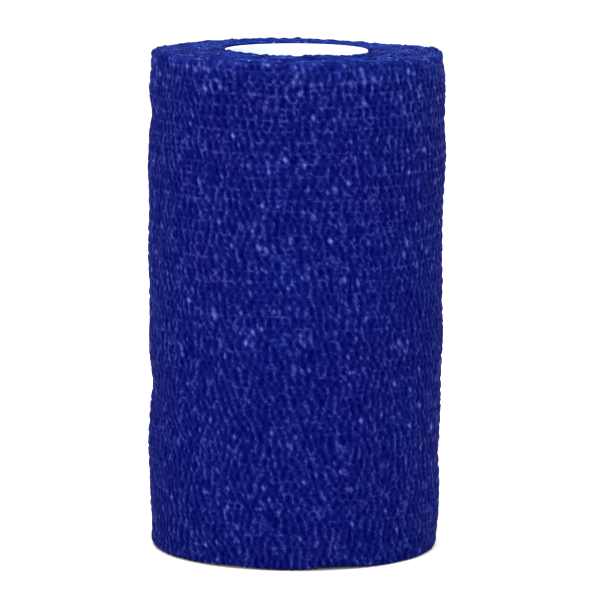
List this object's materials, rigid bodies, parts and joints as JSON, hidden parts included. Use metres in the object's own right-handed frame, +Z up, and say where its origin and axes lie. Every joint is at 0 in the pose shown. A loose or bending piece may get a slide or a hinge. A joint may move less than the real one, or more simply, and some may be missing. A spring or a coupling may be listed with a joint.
{
  "type": "cohesive bandage roll",
  "caption": "Roll of crinkled elastic cohesive bandage, wound on a short white tube and standing on its end, with its loose end stuck flat at the back.",
  "frame": {"origin": "on the roll's axis, on the surface that the roll stands on", "axes": "+Z up along the roll's axis, from the end it stands on to the open end that is seen; -Y towards the pictured side; the loose end lies flat near +Y"},
  "size_m": [0.0598, 0.0587, 0.1008],
  "materials": {
    "cloth": "crinkled non-woven with elastic threads, matt with small waxy glints",
    "tube": "smooth white paperboard, matt"
  },
  "bodies": {
    "root": {"wound_bandage": "cloth", "core_tube": "tube"}
  },
  "joints": []
}
